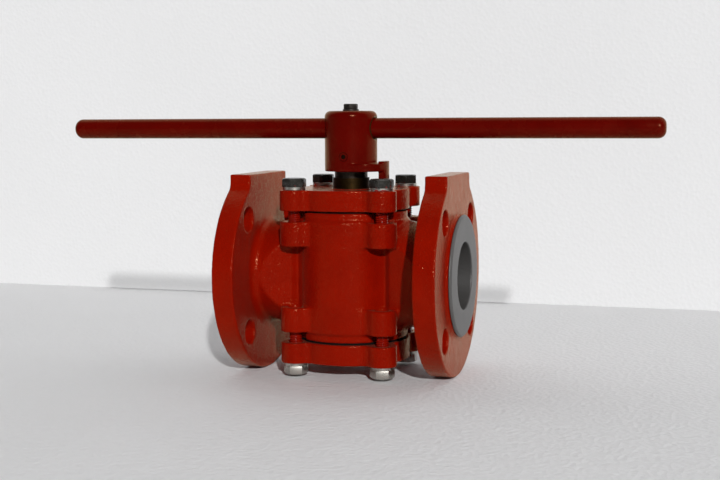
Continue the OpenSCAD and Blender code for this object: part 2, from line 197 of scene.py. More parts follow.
def shape_with(piece, kind, **settings):
    """Add one modifier and apply it."""
    pick(piece)
    modifier = piece.modifiers.new(kind.title(), kind)
    for key, value in settings.items():
        setattr(modifier, key, value)
    bpy.ops.object.modifier_apply(modifier=modifier.name)
    return piece


def combine(piece, other, operation):
    """Join two closed shapes by a boolean and remove the second one."""
    shape_with(piece, "BOOLEAN", object=other, operation=operation, solver="EXACT")
    remove(other)
    return piece


def join(name, pieces):
    """Several loose shapes as one piece."""
    pick(*pieces)
    if len(pieces) > 1:
        bpy.ops.object.join()
    return name_piece(bpy.context.object, name)


def duplicate(piece):
    """A copy of a piece with its own mesh."""
    pick(piece)
    bpy.ops.object.duplicate(linked=False)
    return bpy.context.object


def merge_points(piece, outwards):
    """Merge points that coincide and, where asked to, point the faces outwards."""
    pick(piece)
    bpy.ops.object.mode_set(mode="EDIT")
    bpy.ops.mesh.select_all(action="SELECT")
    bpy.ops.mesh.remove_doubles(threshold=MERGE_DISTANCE)
    if outwards:
        bpy.ops.mesh.normals_make_consistent(inside=False)
    bpy.ops.object.mode_set(mode="OBJECT")
    return piece


def hand_over(piece, body, nodes, finish, smooth_angle=TURNED_ANGLE):
    """Shade a piece, give it its finish, tie it to its body and hide the nodes it stands for."""
    pick(piece)
    bpy.ops.object.shade_smooth_by_angle(angle=math.radians(smooth_angle))
    piece.data.materials.clear()
    piece.data.materials.append(finish)
    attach(piece, body)
    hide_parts(*nodes)
    clear_selection()


# Starting shapes


def turned(name, profile, segments=72):
    """A turned shape about Z: a ring extruded and resized from one (radius, height) to the next."""
    clear_selection()
    hollow = profile[0] == profile[-1]
    radius, height = profile[0]
    bpy.ops.mesh.primitive_circle_add(
        vertices=segments,
        radius=radius,
        fill_type="NOTHING" if hollow else "NGON",
        location=(0, 0, height),
    )
    piece = name_piece(bpy.context.object, name)
    bpy.ops.object.transform_apply(location=True, rotation=True, scale=True)
    bpy.ops.object.mode_set(mode="EDIT")
    bpy.ops.mesh.select_all(action="SELECT")
    for (r0, z0), (r1, z1) in zip(profile, profile[1:]):
        bpy.ops.mesh.extrude_region_move(TRANSFORM_OT_translate={"value": (0, 0, z1 - z0)})
        bpy.ops.transform.resize(value=(r1 / r0, r1 / r0, 1), center_override=(0, 0, z1))
    bpy.ops.object.mode_set(mode="OBJECT")
    return merge_points(piece, outwards=True)


def arc(centre, radius, start, end, steps=8):
    """Points of (radius, height) on an arc, with angles in degrees."""
    turn = [math.radians(start + (end - start) * i / steps) for i in range(steps + 1)]
    return [(centre[0] + radius * math.cos(t), centre[1] + radius * math.sin(t)) for t in turn]


def washer(name, radii, thick, segments):
    """A flat washer standing on Z = 0, its edges broken."""
    inner, outer = radii
    edge = WASHER_EDGE
    section = [
        (inner, edge),
        (inner + edge, 0),
        (outer - edge, 0),
        (outer, edge),
        (outer, thick - edge),
        (outer - edge, thick),
        (inner + edge, thick),
        (inner, thick - edge),
        (inner, edge),
    ]
    return turned(name, section, segments)


def cast_from(name, nodes, grid, rounds, triangles, unevenness):
    """A casting with soft edges: the nodes' meshes merged, remeshed on a fine grid and smoothed."""
    copies = []
    for node in nodes:
        copy = bpy.data.objects.new(name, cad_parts[node].data.copy())
        copy.data.materials.clear()
        bpy.context.scene.collection.objects.link(copy)
        copies.append(copy)
    piece = merge_points(join(name, copies), outwards=False)
    shape_with(piece, "REMESH", mode="VOXEL", voxel_size=grid)
    shape_with(piece, "SMOOTH", factor=0.5, iterations=rounds)
    if unevenness:
        skin = bpy.data.textures.new(f"{name}_skin", "CLOUDS")
        skin.noise_scale = SKIN_WAVES
        shape_with(piece, "DISPLACE", texture=skin, strength=unevenness, texture_coords="LOCAL")
        bpy.data.textures.remove(skin)
    made = sum(len(p.vertices) - 2 for p in piece.data.polygons)
    if made > triangles:
        shape_with(piece, "DECIMATE", ratio=triangles / made)
    if not piece.data.polygons:
        raise RuntimeError(f"{name} came out empty")
    return piece


def hexagon_head(across, height, crown=0.95):
    """A hexagon head standing on Z = 0, its upper corners turned off and its edges broken."""
    clear_selection()
    bpy.ops.mesh.primitive_cylinder_add(
        vertices=6,
        radius=across / math.sqrt(3),
        depth=height,
        location=(0, 0, height / 2),
    )
    head = name_piece(bpy.context.object, "head")
    bpy.ops.object.transform_apply(location=True, rotation=True, scale=True)
    top = across / 2 * crown
    low = height * 0.4
    slope = [
        (top + 2 * across, -height),
        (top + (height - low) * math.sqrt(3), low),
        (top, height),
    ]
    combine(head, turned("cone", slope, 96), "INTERSECT")
    shape_with(
        head,
        "BEVEL",
        width=0.012 * across,
        segments=2,
        limit_method="ANGLE",
        angle_limit=math.radians(25),
    )
    return head


def threaded_shank(radius, pitch, bottom, top, thread_from, thread_to):
    """A shank along Z with a real helical thread where it shows."""
    rings = int(round((thread_to - thread_from) / (pitch / 5)))
    step = (thread_to - thread_from) / rings
    lead = 0.6 * MM
    profile = [(radius - lead, bottom), (radius, bottom + lead)]
    profile += [(radius, thread_from + i * step) for i in range(rings + 1)]
    profile += [(radius, top)]
    shank = turned("shank", profile, 40)
    depth = 0.54 * pitch
    for vertex in shank.data.vertices:
        x, y, z = vertex.co
        if thread_from < z < thread_to and math.hypot(x, y) > radius / 2:
            phase = (z / pitch - math.atan2(y, x) / (2 * math.pi)) % 1
            fade = min(1, (z - thread_from) / pitch, (thread_to - z) / pitch)
            scale = 1 - depth / radius * fade * abs(2 * phase - 1)
            vertex.co = (x * scale, y * scale, z)
    return shank


def on_bolt_square(name, pattern, turns, height, upside):
    """Four copies of a pattern on the bolt square, each with its own turn, above or below the bore."""
    four = []
    for index, turn in enumerate(turns):
        copy = duplicate(pattern)
        place(copy, rotation=(0, 0, math.radians(turn)))
        place(copy, (BOLT_CORNER, BOLT_CORNER, height))
        place(copy, rotation=(0, 0, index * math.pi / 2))
        place(copy, rotation=(upside, 0, 0))
        four.append(copy)
    return join(name, four)


# Shader nodes


def give(tree, socket, value):
    """Link an input from another node's socket, or set it to a colour or a plain value."""
    if hasattr(value, "links"):
        tree.links.new(value, socket)
    elif socket.type == "RGBA":
        socket.default_value = (*value[:3], 1)
    else:
        socket.default_value = value


def add(tree, kind, **values):
    """A node with its inputs, each a value or a socket, and its settings."""
    node = tree.nodes.new(f"ShaderNode{kind}")
    for key, value in values.items():
        label = key.replace("_", " ")
        if label in node.inputs:
            give(tree, node.inputs[label], value)
        else:
            setattr(node, key, value)
    return node


def connect(tree, inputs, **sockets):
    """Links into the named inputs of a shader or of a group's end."""
    for key, socket in sockets.items():
        tree.links.new(socket, inputs[key.replace("_", " ")])


def noise(tree, where, scale, detail=2.0, roughness=0.5):
    """A noise value."""
    node = add(tree, "TexNoise", Vector=where, Scale=scale, Detail=detail, Roughness=roughness)
    return node.outputs["Fac"]


def spread(tree, value, low, high, out_low=0.0, out_high=1.0):
    """A value stretched from one range to another and clamped."""
    node = add(
        tree, "MapRange", Value=value, From_Min=low, From_Max=high, To_Min=out_low, To_Max=out_high
    )
    return node.outputs["Result"]


def math_node(tree, operation, a, b):
    """Two values added, multiplied and so on."""
    node = add(tree, "Math", operation=operation)
    for index, value in enumerate((a, b)):
        give(tree, node.inputs[index], value)
    return node.outputs[0]


def blend_values(tree, factor, a, b):
    """Two values mixed by a factor."""
    node = add(tree, "Mix", data_type="FLOAT")
    for index, value in ((0, factor), (2, a), (3, b)):
        give(tree, node.inputs[index], value)
    return node.outputs[0]


def blend_colours(tree, factor, a, b):
    """Two colours mixed by a factor."""
    node = add(tree, "Mix", data_type="RGBA")
    for index, value in ((0, factor), (6, a), (7, b)):
        give(tree, node.inputs[index], value)
    return node.outputs[2]


def blend_shaders(tree, factor, a, b):
    """Two shaders mixed by a factor."""
    node = add(tree, "MixShader")
    for index, value in enumerate((factor, a, b)):
        give(tree, node.inputs[index], value)
    return node.outputs[0]


# Shader groups


def new_group(name, inputs, outputs):
    """A shader group with its inputs, its outputs and the object's coordinates."""
    group = bpy.data.node_groups.new(name, "ShaderNodeTree")
    for label, kind, default in inputs:
        socket = group.interface.new_socket(label, in_out="INPUT", socket_type=f"NodeSocket{kind}")
        socket.default_value = default
    for label, kind in outputs:
        group.interface.new_socket(label, in_out="OUTPUT", socket_type=f"NodeSocket{kind}")
    given = group.nodes.new("NodeGroupInput").outputs
    made = group.nodes.new("NodeGroupOutput").inputs
    where = add(group, "TexCoord").outputs["Object"]
    return group, given, made, where


def paint_film_group():
    """Brushed enamel: mottled colour, gloss that varies, and the film's peel and nibs on a cast skin."""
    group, given, made, where = new_group(
        "paint_film",
        (
            ("Colour", "Color", (0.2, 0.01, 0.001, 1)),
            ("Pooled colour", "Color", (0.1, 0.005, 0.001, 1)),
            ("Mottle scale", "Float", 40.0),
            ("Peel scale", "Float", 600.0),
            ("Gloss low", "Float", 0.14),
            ("Gloss high", "Float", 0.28),
            ("Nib height", "Float", 0.0),
        ),
        (("Colour", "Color"), ("Roughness", "Float"), ("Height", "Float")),
    )
    mottle = spread(group, noise(group, where, given["Mottle scale"], 4.0, 0.6), 0.35, 0.7)
    colour = blend_colours(group, mottle, given["Colour"], given["Pooled colour"])
    patch = noise(group, where, GLOSS_PATCHES, 3.0)
    gloss = spread(group, patch, 0.3, 0.7, given["Gloss low"], given["Gloss high"])
    peel = noise(group, where, given["Peel scale"], 1.5, 0.45)
    lumps = noise(group, where, CAST_LUMPS)
    skin = math_node(group, "ADD", math_node(group, "MULTIPLY", lumps, 0.6), peel)
    cells = add(group, "TexVoronoi", Vector=where, Scale=NIB_CELLS).outputs
    nib = spread(group, cells["Distance"], 0.0, 0.22, 1.0, 0.0)
    nib.node.interpolation_type = "SMOOTHSTEP"
    chance = add(group, "SeparateColor", Color=cells["Color"]).outputs[0]
    nib = math_node(group, "MULTIPLY", nib, spread(group, chance, 0.3, 1.0))
    nib = math_node(group, "MULTIPLY", nib, given["Nib height"])
    height = math_node(group, "ADD", skin, nib)
    connect(group, made, Colour=colour, Roughness=gloss, Height=height)
    return group


def metal_skin_group():
    """Plated or oiled metal: cloudy tone, fine scratches and uneven polish."""
    group, given, made, where = new_group(
        "metal_skin",
        (
            ("Bright", "Color", (0.6, 0.6, 0.58, 1)),
            ("Dull", "Color", (0.3, 0.29, 0.27, 1)),
            ("Cloud scale", "Float", 160.0),
            ("Polish low", "Float", 0.2),
            ("Polish high", "Float", 0.45),
        ),
        (("Colour", "Color"), ("Roughness", "Float"), ("Height", "Float")),
    )
    cloud = spread(group, noise(group, where, given["Cloud scale"], 5.0, 0.65), 0.3, 0.7)
    colour = blend_colours(group, cloud, given["Bright"], given["Dull"])
    stretched = add(group, "Mapping", Vector=where, Scale=(1.0, 1.0, 14.0)).outputs[0]
    scratch = noise(group, stretched, SCRATCHES, 3.0, 0.7)
    polish = spread(group, cloud, 0.0, 1.0, given["Polish low"], given["Polish high"])
    connect(group, made, Colour=colour, Roughness=polish, Height=scratch)
    return group


def overspray_group():
    """Paint on bare metal: everything nearer to the flow axis than an uneven line."""
    group, given, made, where = new_group(
        "overspray",
        (
            ("Line height", "Float", 0.067),
            ("Ragged", "Float", 0.004),
            ("Fleck scale", "Float", 220.0),
        ),
        (("Mask", "Float"),),
    )
    height = add(group, "SeparateXYZ", Vector=where).outputs["Z"]
    away = math_node(group, "ABSOLUTE", height, 0.0)
    fleck = spread(group, noise(group, where, given["Fleck scale"], 3.0, 0.6), 0.3, 0.7, -1.0, 1.0)
    uneven = math_node(group, "MULTIPLY", fleck, given["Ragged"])
    line = math_node(group, "ADD", given["Line height"], uneven)
    within = math_node(group, "SUBTRACT", line, away)
    connect(group, made, Mask=spread(group, within, 0.0, OVERSPRAY_EDGE))
    return group


def soft_skin_group():
    """Moulded or pressed soft material: faint clouds of tone and a fine grain."""
    group, given, made, where = new_group(
        "soft_skin",
        (
            ("Light", "Color", (0.3, 0.3, 0.3, 1)),
            ("Dark", "Color", (0.2, 0.2, 0.2, 1)),
            ("Cloud scale", "Float", 60.0),
            ("Grain scale", "Float", 900.0),
        ),
        (("Colour", "Color"), ("Height", "Float")),
    )
    cloud = spread(group, noise(group, where, given["Cloud scale"], 4.0, 0.6), 0.3, 0.7)
    colour = blend_colours(group, cloud, given["Light"], given["Dark"])
    connect(group, made, Colour=colour, Height=noise(group, where, given["Grain scale"]))
    return group


def near_line_group():
    """Everything within a radius of a line along X or, on the front only, along Y."""
    group, given, made, where = new_group(
        "near_line",
        (
            ("Across", "Float", 0.0),
            ("Height", "Float", BAR_HEIGHT),
            ("Radius", "Float", 0.009),
        ),
        (("Mask", "Float"),),
    )
    parts = add(group, "SeparateXYZ", Vector=where).outputs
    side = blend_values(group, given["Across"], parts["Y"], parts["X"])
    rise = math_node(group, "SUBTRACT", parts["Z"], given["Height"])
    squares = [math_node(group, "MULTIPLY", way, way) for way in (side, rise)]
    away = math_node(group, "POWER", math_node(group, "ADD", *squares), 0.5)
    inside = math_node(group, "SUBTRACT", given["Radius"], away)
    front = math_node(group, "LESS_THAN", parts["Y"], 0.0)
    along_x = math_node(group, "SUBTRACT", 1.0, given["Across"])
    shown = math_node(group, "MAXIMUM", front, along_x)
    mask = math_node(group, "MULTIPLY", spread(group, inside, 0.0, SHADE_EDGE), shown)
    connect(group, made, Mask=mask)
    return group


GROUP_MAKERS = {
    "paint_film": paint_film_group,
    "metal_skin": metal_skin_group,
    "overspray": overspray_group,
    "soft_skin": soft_skin_group,
    "near_line": near_line_group,
}


def use_group(tree, name, **values):
    """One shader group's outputs, placed in a material with its own values."""
    node = tree.nodes.new("ShaderNodeGroup")
    node.node_tree = bpy.data.node_groups.get(name) or GROUP_MAKERS[name]()
    for key, value in values.items():
        give(tree, node.inputs[key.replace("_", " ")], value)
    return node.outputs


# Kinds of material


def new_finish(name, **constants):
    """A material with one Principled shader; constants go straight on to the shader's sockets."""
    finish = bpy.data.materials.new(name)
    finish.use_nodes = True
    shader = finish.node_tree.nodes["Principled BSDF"]
    for key, value in constants.items():
        shader.inputs[key.replace("_", " ")].default_value = value
    return finish, finish.node_tree, shader


def bump(tree, shader, height, distance, strength=1.0):
    """Relief from a height, into the shader's normal."""
    node = add(tree, "Bump", Height=height, Strength=strength, Distance=distance)
    connect(tree, shader.inputs, Normal=node.outputs["Normal"])


def recolour(finish, *places):
    """A finish with other colours in round places, each a (colour, across, height, radius); these are
    painted shade in holes and bores.
    """
    tree = finish.node_tree
    inputs = tree.nodes["Principled BSDF"].inputs
    colour = inputs["Base Color"].links[0].from_socket
    for other, across, height, radius in places:
        near = use_group(tree, "near_line", Across=across, Height=height, Radius=radius)
        colour = blend_colours(tree, near["Mask"], colour, other)
    connect(tree, inputs, Base_Color=colour)
    return finish


def shade(colour, share):
    """A darker tone of a colour."""
    return [c * share for c in colour]


def enamel(name, colour, pooled, gloss, peel, relief, nibs, **constants):
    """Glossy enamel over a casting."""
    finish, tree, shader = new_finish(name, **CLEAR_TOP, **constants)
    film = use_group(
        tree,
        "paint_film",
        Colour=colour,
        Pooled_colour=pooled,
        Peel_scale=peel,
        Gloss_low=gloss[0],
        Gloss_high=gloss[1],
        Nib_height=nibs,
    )
    connect(tree, shader.inputs, Base_Color=film["Colour"], Roughness=film["Roughness"])
    bump(tree, shader, film["Height"], relief)
    return finish


def metal(name, bright, dull, polish):
    """Bare metal."""
    finish, tree, shader = new_finish(name, Metallic=1.0)
    skin = use_group(
        tree, "metal_skin", Bright=bright, Dull=dull, Polish_low=polish[0], Polish_high=polish[1]
    )
    connect(tree, shader.inputs, Base_Color=skin["Colour"], Roughness=skin["Roughness"])
    bump(tree, shader, skin["Height"], FINE_RELIEF)
    return finish


def painted_metal(name, bright, dull, polish, line, ragged, bare=1.0):
    """Bare metal with the castings' paint on the part that is nearest to the flow axis."""
    colours = bpy.context.scene.valve_colours
    finish, tree, shader = new_finish(name)
    skin = use_group(
        tree, "metal_skin", Bright=bright, Dull=dull, Polish_low=polish[0], Polish_high=polish[1]
    )
    film = use_group(
        tree,
        "paint_film",
        Colour=colours.orange,
        Pooled_colour=colours.orange_pooled,
        Gloss_low=0.16,
        Gloss_high=0.3,
    )
    mask = use_group(tree, "overspray", Line_height=line, Ragged=ragged)["Mask"]
    connect(
        tree,
        shader.inputs,
        Base_Color=blend_colours(tree, mask, skin["Colour"], film["Colour"]),
        Roughness=blend_values(tree, mask, skin["Roughness"], film["Roughness"]),
        Metallic=spread(tree, mask, 0.0, 1.0, bare, 0.0),
    )
    bump(tree, shader, skin["Height"], FINE_RELIEF)
    return finish


def soft(name, light, dark, roughness, relief, grain=900.0, gleam=0.5):
    """Lining, seals and gaskets."""
    finish, tree, shader = new_finish(name, Roughness=roughness, Specular_IOR_Level=gleam)
    skin = use_group(tree, "soft_skin", Light=light, Dark=dark, Grain_scale=grain)
    connect(tree, shader.inputs, Base_Color=skin["Colour"])
    bump(tree, shader, skin["Height"], relief)
    return finish


def foam_board(name, glow):
    """White foam board: packed beads under a matt skin.

    It has a pale glow that only the camera and gloss see. From behind it is see-through, so that it
    never hides the valve.
    """
    backdrop = bpy.context.scene.valve_colours.backdrop
    finish, tree, shader = new_finish(name, Roughness=0.75)
    where = add(tree, "TexCoord").outputs["Object"]
    tone = spread(tree, noise(tree, where, BOARD_CLOUDS, 3.0), 0.3, 0.7)
    colour = blend_colours(tree, tone, backdrop, shade(backdrop, 0.96))
    connect(tree, shader.inputs, Base_Color=colour)
    beads = add(tree, "TexVoronoi", Vector=where, Scale=BOARD_BEADS).outputs
    bump(tree, shader, beads["Distance"], BEAD_RELIEF, 0.5)
    clear = add(tree, "BsdfTransparent").outputs[0]
    pale = add(tree, "Emission", Color=colour).outputs[0]
    behind = add(tree, "NewGeometry").outputs["Backfacing"]
    rays = add(tree, "LightPath").outputs
    seen = rays["Is Camera Ray"]
    mirrored = math_node(tree, "MAXIMUM", rays["Is Glossy Ray"], rays["Is Transmission Ray"])
    shown = math_node(tree, "MAXIMUM", seen, mirrored)
    glows = math_node(tree, "MULTIPLY", shown, glow)
    lifted = blend_shaders(tree, glows, shader.outputs[0], pale)
    through = blend_shaders(tree, math_node(tree, "MULTIPLY", behind, seen), lifted, clear)
    connect(tree, tree.nodes["Material Output"].inputs, Surface=through)
    return finish


# Finishes of the pieces, each made at its first use


@functools.cache
def castings_enamel():
    colours = bpy.context.scene.valve_colours
    return enamel(
        "castings_enamel",
        colours.orange,
        colours.orange_pooled,
        gloss=(0.1, 0.18),
        peel=760.0,
        relief=0.4 * MM,
        nibs=0.8,
        Specular_IOR_Level=0.52,
        Sheen_Weight=0.05,
        Sheen_Roughness=0.35,
        Sheen_Tint=(1.0, 0.68, 0.42, 1.0),
    )


def red_enamel(name, gloss, relief, nibs):
    """The handle's enamel."""
    colours = bpy.context.scene.valve_colours
    return enamel(
        name,
        colours.red,
        colours.red_pooled,
        gloss=gloss,
        peel=420.0,
        relief=relief,
        nibs=nibs,
        Specular_IOR_Level=0.5,
    )


def red_enamel_with_painted_shade(name, *places):
    """The handle's enamel with painted shade darkening round places."""
    finish = red_enamel(name, (0.12, 0.24), 0.12 * MM, 0.3)
    return recolour(finish, *places)


@functools.cache
def handle_enamel():
    return red_enamel("handle_enamel", (0.2, 0.32), 0.08 * MM, 0.0)


@functools.cache
# Painted shade darkens the hub's enamel in the bar hole and in the hole round the set screw
def hub_enamel():
    return red_enamel_with_painted_shade("hub_enamel", BAR_HOLE, SCREW_HOLE)


# Painted shade darkens the set screw's socket
@functools.cache
def screw_enamel():
    return red_enamel_with_painted_shade("screw_enamel", SCREW_SOCKET)


@functools.cache
def lining_skin():
    colour = bpy.context.scene.valve_colours.lining
    finish = soft("lining_skin", colour, shade(colour, 0.82), 0.42, FINE_RELIEF)
    # Painted shade: the lining is darker inside the bore
    return recolour(finish, (shade(colour, 0.55), 0.0, 0.0, BORE_RADIUS))


# Painted reflection: the top bolts' steel is much darker than the bottom bolts' zinc, standing for the dark
# surroundings it mirrors; the paint below the heads is real overspray
@functools.cache
def top_bolt_painted_dark_reflection():
    return painted_metal(
        "top_bolt_painted_dark_reflection",
        (0.034, 0.032, 0.027),
        (0.011, 0.01, 0.008),
        polish=(0.16, 0.34),
        line=66.5 * MM,
        ragged=3.2 * MM,
        bare=0.4,
    )


@functools.cache
def top_washer_zinc():
    zinc = bpy.context.scene.valve_colours.zinc
    return painted_metal(
        "top_washer_zinc", zinc, shade(zinc, 0.6), polish=(0.25, 0.45), line=65.4 * MM, ragged=1.2 * MM
    )


@functools.cache
def bottom_bolt_zinc():
    zinc = bpy.context.scene.valve_colours.zinc
    return painted_metal(
        "bottom_bolt_zinc", zinc, shade(zinc, 0.72), polish=(0.22, 0.4), line=64.8 * MM, ragged=0.6 * MM
    )


@functools.cache
def zinc_plate():
    zinc = bpy.context.scene.valve_colours.zinc
    return metal("zinc_plate", zinc, shade(zinc, 0.7), (0.25, 0.42))


@functools.cache
def oiled_steel():
    return metal("oiled_steel", (0.1, 0.09, 0.08), (0.04, 0.035, 0.03), (0.3, 0.5))


@functools.cache
def stem_skin():
    return metal("stem_skin", (0.05, 0.04, 0.032), (0.018, 0.013, 0.01), (0.25, 0.45))


@functools.cache
def gland_bronze():
    return metal("gland_bronze", (0.042, 0.026, 0.009), (0.014, 0.008, 0.003), (0.32, 0.55))


@functools.cache
def seal_skin():
    return soft("seal_skin", (0.8, 0.79, 0.76), (0.72, 0.71, 0.67), 0.5, FINE_RELIEF)


# Black rubber and painted shade: the gaskets are made nearly lightless so that the gap between cover and
# body reads dark
@functools.cache
def gasket_and_gap_shade():
    black, blacker = (0.004, 0.004, 0.004), (0.002, 0.002, 0.002)
    return soft("gasket_and_gap_shade", black, blacker, 0.8, GASKET_RELIEF, grain=500.0, gleam=0.1)


# Values that a user would change


class ValveForm(bpy.types.PropertyGroup):
    """Sizes of the modelled pieces."""

    casting_grid: bpy.props.FloatProperty(
        name="Casting grid",
        description="Cell of the grid that the body casting is remeshed on",
        default=0.9 * MM,
        unit="LENGTH",
    )
    casting_rounds: bpy.props.IntProperty(
        name="Casting softness",
        description="Rounds of smoothing on the edges of castings",
        default=5,
    )
    cast_skin: bpy.props.FloatProperty(
        name="Cast skin",
        description="Height of the slow waves on the castings",
        default=0.3 * MM,
        unit="LENGTH",
    )
    cover_grid: bpy.props.FloatProperty(
        name="Cover grid",
        description="Cell of the grid that the covers are remeshed on",
        default=0.6 * MM,
        unit="LENGTH",
    )
    hub_grid: bpy.props.FloatProperty(
        name="Hub grid",
        description="Cell of the grid that the handle hub is remeshed on",
        default=0.4 * MM,
        unit="LENGTH",
    )
    lining_grid: bpy.props.FloatProperty(
        name="Lining grid",
        description="Cell of the grid that the lining is remeshed on",
        default=0.6 * MM,
        unit="LENGTH",
    )
    lining_rounds: bpy.props.IntProperty(
        name="Lining softness",
        description="Rounds of smoothing on the lining's edges",
        default=6,
    )
    bolt_across: bpy.props.FloatProperty(
        name="Cover bolt head",
        description="Width across the flats of the cover bolts' heads",
        default=16 * MM,
        unit="LENGTH",
    )
    bolt_pitch: bpy.props.FloatProperty(
        name="Cover bolt thread",
        description="Pitch of the cover bolts' thread",
        default=1.5 * MM,
        unit="LENGTH",
    )
    washer_lift: bpy.props.FloatProperty(
        name="Spring washer lift",
        description="Height between the two ends of a spring washer's split",
        default=0.3 * MM,
        unit="LENGTH",
    )
    bar_end_round: bpy.props.FloatProperty(
        name="Bar end round",
        description="Radius of the round on the handle bar's ends",
        default=5.6 * MM,
        unit="LENGTH",
    )


class ValveColours(bpy.types.PropertyGroup):
    """Colours of the finishes, in linear light."""

    orange: bpy.props.FloatVectorProperty(
        name="Orange enamel",
        description="Enamel on the castings",
        default=(0.23, 0.0042, 0.0002),
        subtype="COLOR",
    )
    orange_pooled: bpy.props.FloatVectorProperty(
        name="Pooled orange",
        description="Enamel where it lies thicker",
        default=(0.196, 0.0032, 0.0002),
        subtype="COLOR",
    )
    red: bpy.props.FloatVectorProperty(
        name="Red enamel",
        description="Enamel on the handle",
        default=(0.098, 0.0008, 0.0002),
        subtype="COLOR",
    )
    red_pooled: bpy.props.FloatVectorProperty(
        name="Pooled red",
        description="Handle enamel where it lies thicker",
        default=(0.078, 0.0006, 0.0002),
        subtype="COLOR",
    )
    lining: bpy.props.FloatVectorProperty(
        name="Lining",
        description="Moulded lining of body and plug",
        default=(0.085, 0.081, 0.078),
        subtype="COLOR",
    )
    zinc: bpy.props.FloatVectorProperty(
        name="Zinc",
        description="Plated bolts and washers",
        default=(0.5, 0.475, 0.43),
        subtype="COLOR",
    )
    backdrop: bpy.props.FloatVectorProperty(
        name="Backdrop",
        description="Floor and back wall",
        default=(0.8, 0.8, 0.805),
        subtype="COLOR",
    )


class ValveStudio(bpy.types.PropertyGroup):
    """Light and camera."""

    key_power: bpy.props.FloatProperty(
        name="Key light", description="Strength of the low front light", default=2.75
    )
    key_softness: bpy.props.FloatProperty(
        name="Key softness",
        description="Angle that the key light spans",
        default=math.radians(1.5),
        subtype="ANGLE",
    )
    sky_level: bpy.props.FloatProperty(
        name="Room light", description="Even light from all round", default=0.13
    )
    lens: bpy.props.FloatProperty(
        name="Lens", description="Focal length in millimetres", default=62.42
    )
    wall_distance: bpy.props.FloatProperty(
        name="Wall distance",
        description="Distance of the back wall behind the stem",
        default=0.378,
        unit="LENGTH",
    )


# Pieces on the body


class VALVE_OT_casting(bpy.types.Operator):
    """Model the body casting with its necks and flanges as one painted piece"""

    bl_idname = "valve.casting"
    bl_label = "Body casting"

    def execute(self, context):
        form = context.scene.valve_form
        piece = cast_from(
            "body_casting",
            CASTING_NODES,
            form.casting_grid,
            form.casting_rounds,
            CASTING_TRIANGLES,
            form.cast_skin,
        )
        hand_over(piece, FIXED, CASTING_NODES, castings_enamel(), CAST_ANGLE)
        return {"FINISHED"}


class VALVE_OT_covers(bpy.types.Operator):
    """Model the bolted top and bottom covers"""

    bl_idname = "valve.covers"
    bl_label = "Covers"

    def execute(self, context):
        form = context.scene.valve_form
        for node in ("top_cover", "bottom_cover"):
            piece = cast_from(
                f"{node}_casting",
                (node,),
                form.cover_grid,
                form.casting_rounds,
                PIECE_TRIANGLES,
                form.cast_skin,
            )
            hand_over(piece, FIXED, (node,), castings_enamel(), CAST_ANGLE)
        return {"FINISHED"}


class VALVE_OT_lining(bpy.types.Operator):
    """Model the moulded lining with its rounded sealing faces"""

    bl_idname = "valve.lining"
    bl_label = "Lining"

    def execute(self, context):
        form = context.scene.valve_form
        piece = cast_from(
            "moulded_lining",
            ("body_lining",),
            form.lining_grid,
            form.lining_rounds,
            PIECE_TRIANGLES,
            unevenness=0,
        )
        hand_over(piece, FIXED, ("body_lining",), lining_skin(), CAST_ANGLE)
        return {"FINISHED"}


class VALVE_OT_cover_bolts(bpy.types.Operator):
    """Model one threaded hexagon bolt and set four of them in each cover"""

    bl_idname = "valve.cover_bolts"
    bl_label = "Cover bolts"

    def execute(self, context):
        form = context.scene.valve_form
        low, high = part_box("top_cover_bolts")
        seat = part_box("top_spring_washers")[1].z
        head = place(hexagon_head(form.bolt_across, high.z - seat), (0, 0, seat))
        collar = place(turned("collar", BOLT_COLLAR, 48), (0, 0, seat))
        shank = threaded_shank(BOLT_RADIUS, form.bolt_pitch, low.z, seat + HEAD_OVERLAP, *BOLT_THREAD)
        pattern = join("cover_bolt", [head, collar, shank])
        for node, upside, finish in (
            ("top_cover_bolts", 0, top_bolt_painted_dark_reflection),
            ("bottom_cover_bolts", math.pi, bottom_bolt_zinc),
        ):
            piece = on_bolt_square(f"{node}_hexagon", pattern, BOLT_TURNS, 0, upside)
            hand_over(piece, FIXED, (node,), finish(), HEXAGON_ANGLE)
        remove(pattern)
        return {"FINISHED"}


class VALVE_OT_spring_washers(bpy.types.Operator):
    """Model one split spring washer and lay it under each cover bolt"""

    bl_idname = "valve.spring_washers"
    bl_label = "Spring washers"

    def execute(self, context):
        form = context.scene.valve_form
        low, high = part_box("top_spring_washers")
        thick = high.z - low.z
        inner, outer = SPRING_RADII
        pattern = washer("washer", SPRING_RADII, thick, 64)
        clear_selection()
        bpy.ops.mesh.primitive_cube_add(
            size=1,
            scale=(outer, SPLIT_WIDTH, 3 * thick),
            rotation=(math.radians(SPLIT_SLANT), 0, 0),
            location=((inner + outer) / 2, 0, thick / 2),
        )
        combine(pattern, context.object, "DIFFERENCE")
        for vertex in pattern.data.vertices:
            x, y, z = vertex.co
            around = math.atan2(y, x) % (2 * math.pi) / (2 * math.pi)
            vertex.co.z = z + form.washer_lift * (around - 0.5)
        for node, upside, finish in (
            ("top_spring_washers", 0, top_washer_zinc),
            ("bottom_spring_washers", math.pi, bottom_bolt_zinc),
        ):
            piece = on_bolt_square(f"{node}_split", pattern, SPRING_TURNS, low.z, upside)
            hand_over(piece, FIXED, (node,), finish(), HEXAGON_ANGLE)
        remove(pattern)
        return {"FINISHED"}


# Pieces on the handle


class VALVE_OT_handle_hub(bpy.types.Operator):
    """Model the handle hub with its stop tongue"""

    bl_idname = "valve.handle_hub"
    bl_label = "Handle hub"

    def execute(self, context):
        form = context.scene.valve_form
        piece = cast_from(
            "handle_hub_casting",
            ("handle_hub",),
            form.hub_grid,
            form.casting_rounds,
            PIECE_TRIANGLES,
            form.cast_skin / 2,
        )
        hand_over(piece, MOVING, ("handle_hub",), hub_enamel(), CAST_ANGLE)
        return {"FINISHED"}


